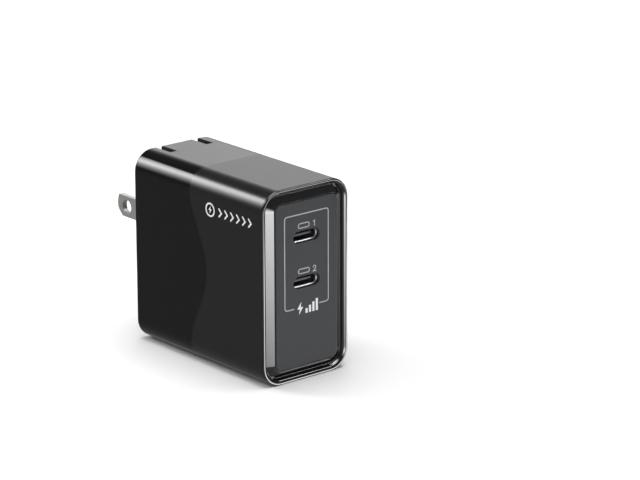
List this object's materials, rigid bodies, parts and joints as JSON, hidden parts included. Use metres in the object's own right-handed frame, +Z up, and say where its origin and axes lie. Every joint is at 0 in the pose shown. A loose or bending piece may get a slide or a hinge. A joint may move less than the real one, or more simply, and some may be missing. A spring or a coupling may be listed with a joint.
{
  "type": "usb wall charger",
  "caption": "Upright block-shaped USB-C wall charger with a framed port panel, glossy and matte black finish, and plug blades that fold up into rear slots.",
  "frame": {"origin": "centre of the flat bottom face of the housing, halfway between the housing's front and rear ends", "axes": "+Z up, +Y towards the plug blades and the wall, -Y towards the ports, +X to the right for someone facing the ports"},
  "size_m": [0.0296, 0.0745, 0.0544],
  "materials": {
    "case_plastic": "black polycarbonate, fine matte in front and mirror gloss behind a wavy line",
    "bezel_gloss": "piano black",
    "panel_matte": "dark grey, fine matte, light printed marks",
    "cover_matte": "dark grey, fine spark-eroded texture",
    "inner_plastic": "black glass-filled nylon",
    "blade_metal": "nickel-plated brass, brushed along its length",
    "port_steel": "drawn stainless steel",
    "spring_steel": "rolled strip",
    "contact_bronze": "phosphor bronze strip",
    "copper": "copper sheet and enamelled wire",
    "circuit_board": "green solder mask on glass-epoxy laminate",
    "chip_epoxy": "moulded black epoxy",
    "ferrite": "sintered grey ferrite",
    "winding_tape": "yellow polyester tape over the winding",
    "capacitor_can": "aluminium can in a dark sleeve",
    "liner_film": "clear amber-white polyester film",
    "thermal_pad": "soft grey-blue silicone",
    "capacitor_box": "yellow moulded box",
    "disc_ceramic": "blue lacquered ceramic disc"
  },
  "bodies": {
    "housing": {"housing_shell": "case_plastic", "front_bezel": "bezel_gloss", "port_panel": "panel_matte", "rear_cover": "cover_matte", "prong_cradle": "inner_plastic", "detent_spring": "spring_steel", "contact_spring_left": "contact_bronze", "contact_spring_right": "contact_bronze", "usb_upper_shell": "port_steel", "usb_upper_base": "inner_plastic", "usb_upper_tongue": "inner_plastic", "usb_lower_shell": "port_steel", "usb_lower_base": "inner_plastic", "usb_lower_tongue": "inner_plastic", "main_board": "circuit_board", "port_board": "circuit_board", "input_board": "circuit_board", "insulation_liner": "liner_film", "heat_spreader": "copper", "thermal_pad": "thermal_pad", "transformer_core_inner": "ferrite", "transformer_core_outer": "ferrite", "transformer_bobbin": "inner_plastic", "transformer_winding": "winding_tape", "bulk_capacitor_1": "capacitor_can", "bulk_capacitor_2": "capacitor_can", "output_capacitor_1": "capacitor_can", "output_capacitor_2": "capacitor_can", "choke_core": "ferrite", "choke_winding_1": "copper", "choke_winding_2": "copper", "filter_capacitor": "capacitor_box", "line_capacitor": "disc_ceramic", "fuse": "chip_epoxy", "bridge_rectifier": "chip_epoxy", "gan_switch": "chip_epoxy", "primary_controller": "chip_epoxy", "opto_isolator": "chip_epoxy", "sync_rectifier": "chip_epoxy", "buck_inductor_1": "ferrite", "buck_inductor_2": "ferrite", "port_controller": "chip_epoxy", "board_header": "inner_plastic"},
    "plug": {"prong_left": "blade_metal", "prong_right": "blade_metal", "prong_shaft": "inner_plastic"}
  },
  "joints": [
    {"name": "prong_fold", "type": "hinge", "parent": "housing", "child": "plug", "pos_m": [0, 0.02535, 0.033], "axis": [1, 0, 0], "range_deg": [0, 90]}
  ]
}
